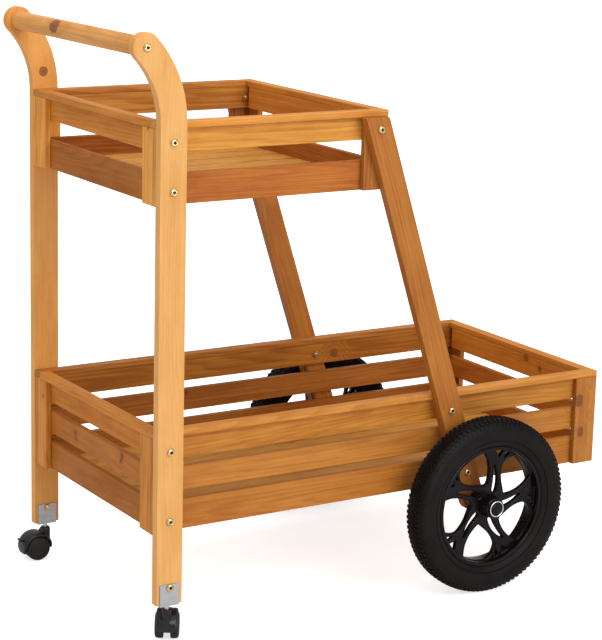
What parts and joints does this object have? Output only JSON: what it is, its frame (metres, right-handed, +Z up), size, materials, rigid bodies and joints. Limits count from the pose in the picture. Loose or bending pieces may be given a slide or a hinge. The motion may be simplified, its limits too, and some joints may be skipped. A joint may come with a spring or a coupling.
{
  "type": "flower cart stand",
  "caption": "Two-tier slatted wooden flower cart with curved handle posts, two large spoked wheels and twin-wheel swivel casters.",
  "frame": {"origin": "on the floor, under the middle of the cart's overall length and width", "axes": "+X from the handle towards the wheels, +Y to the pusher's left, +Z up"},
  "size_m": [0.9266, 0.603, 0.9624],
  "materials": {
    "stained_fir": "honey-brown stained softwood, satin",
    "tyre_rubber": "matt black tread rubber",
    "black_nylon": "moulded black plastic",
    "hub_cap_plastic": "grey cap with a silvered ring",
    "brassed_steel": "yellow-passivated steel",
    "zinc_steel": "zinc-plated",
    "zinc_strap": "dull zinc-plated strap",
    "caster_nylon": "black nylon"
  },
  "bodies": {
    "cart": {"axle": "zinc_steel", "axle_nuts": "zinc_steel", "axle_spacers": "zinc_steel", "bracket_left": "zinc_strap", "bracket_right": "zinc_strap", "caster_stem_left": "zinc_steel", "caster_stem_right": "zinc_steel", "frame_bolts": "brassed_steel", "frame_nuts": "brassed_steel", "handle_bar": "stained_fir", "leg_left": "stained_fir", "leg_packer_left": "stained_fir", "leg_packer_right": "stained_fir", "leg_right": "stained_fir", "lower_cap_back": "stained_fir", "lower_cap_front": "stained_fir", "lower_cap_left": "stained_fir", "lower_cap_right": "stained_fir", "lower_corner_back_left": "stained_fir", "lower_corner_back_right": "stained_fir", "lower_corner_front_left": "stained_fir", "lower_corner_front_right": "stained_fir", "lower_floor_battens": "stained_fir", "lower_floor_slats": "stained_fir", "lower_slats_back": "stained_fir", "lower_slats_front": "stained_fir", "lower_slats_left": "stained_fir", "lower_slats_right": "stained_fir", "post_left": "stained_fir", "post_right": "stained_fir", "upper_cap_back": "stained_fir", "upper_cap_front": "stained_fir", "upper_cap_left": "stained_fir", "upper_cap_right": "stained_fir", "upper_corner_back_left": "stained_fir", "upper_corner_back_right": "stained_fir", "upper_corner_front_left": "stained_fir", "upper_corner_front_right": "stained_fir", "upper_floor_battens": "stained_fir", "upper_floor_slats": "stained_fir", "upper_slats_back": "stained_fir", "upper_slats_front": "stained_fir", "upper_slats_left": "stained_fir", "upper_slats_right": "stained_fir"},
    "wheel_right": {"rim_right": "black_nylon", "tyre_right": "tyre_rubber", "hub_cap_right": "hub_cap_plastic"},
    "caster_right": {"caster_hood_right": "caster_nylon", "caster_pin_right": "zinc_steel"},
    "caster_right_wheel_inner": {"caster_wheel_inner_right": "caster_nylon"},
    "caster_right_wheel_outer": {"caster_wheel_outer_right": "caster_nylon"},
    "brake_right": {"brake_pedal_right": "caster_nylon"},
    "wheel_left": {"rim_left": "black_nylon", "tyre_left": "tyre_rubber", "hub_cap_left": "hub_cap_plastic"},
    "caster_left": {"caster_hood_left": "caster_nylon", "caster_pin_left": "zinc_steel"},
    "caster_left_wheel_inner": {"caster_wheel_inner_left": "caster_nylon"},
    "caster_left_wheel_outer": {"caster_wheel_outer_left": "caster_nylon"},
    "brake_left": {"brake_pedal_left": "caster_nylon"}
  },
  "joints": [
    {"name": "wheel_right_spin", "type": "hinge", "parent": "cart", "child": "wheel_right", "pos_m": [0.1933, -0.268, 0.1524], "axis": [0, 1, 0], "continuous": true},
    {"name": "caster_right_swivel", "type": "hinge", "parent": "cart", "child": "caster_right", "pos_m": [-0.3942, -0.22675, 0.05], "axis": [0, 0, 1], "continuous": true},
    {"name": "caster_right_wheel_inner_spin", "type": "hinge", "parent": "caster_right", "child": "caster_right_wheel_inner", "pos_m": [-0.38413, -0.21064, 0.0215], "axis": [0.848, -0.5299, 0], "continuous": true},
    {"name": "caster_right_wheel_outer_spin", "type": "hinge", "parent": "caster_right", "child": "caster_right_wheel_outer", "pos_m": [-0.38413, -0.21064, 0.0215], "axis": [0.848, -0.5299, 0], "continuous": true},
    {"name": "brake_right_tip", "type": "hinge", "parent": "caster_right", "child": "brake_right", "pos_m": [-0.37437, -0.19501, 0.0344], "axis": [0.848, -0.5299, 0], "range_deg": [-12, 0]},
    {"name": "wheel_left_spin", "type": "hinge", "parent": "cart", "child": "wheel_left", "pos_m": [0.1933, 0.268, 0.1524], "axis": [0, 1, 0], "continuous": true},
    {"name": "caster_left_swivel", "type": "hinge", "parent": "cart", "child": "caster_left", "pos_m": [-0.3942, 0.22675, 0.05], "axis": [0, 0, 1], "continuous": true},
    {"name": "caster_left_wheel_inner_spin", "type": "hinge", "parent": "caster_left", "child": "caster_left_wheel_inner", "pos_m": [-0.4132, 0.22675, 0.0215], "axis": [0, 1, 0], "continuous": true},
    {"name": "caster_left_wheel_outer_spin", "type": "hinge", "parent": "caster_left", "child": "caster_left_wheel_outer", "pos_m": [-0.4132, 0.22675, 0.0215], "axis": [0, 1, 0], "continuous": true},
    {"name": "brake_left_tip", "type": "hinge", "parent": "caster_left", "child": "brake_left", "pos_m": [-0.43163, 0.22675, 0.0344], "axis": [0, 1, 0], "range_deg": [-12, 0]}
  ]
}
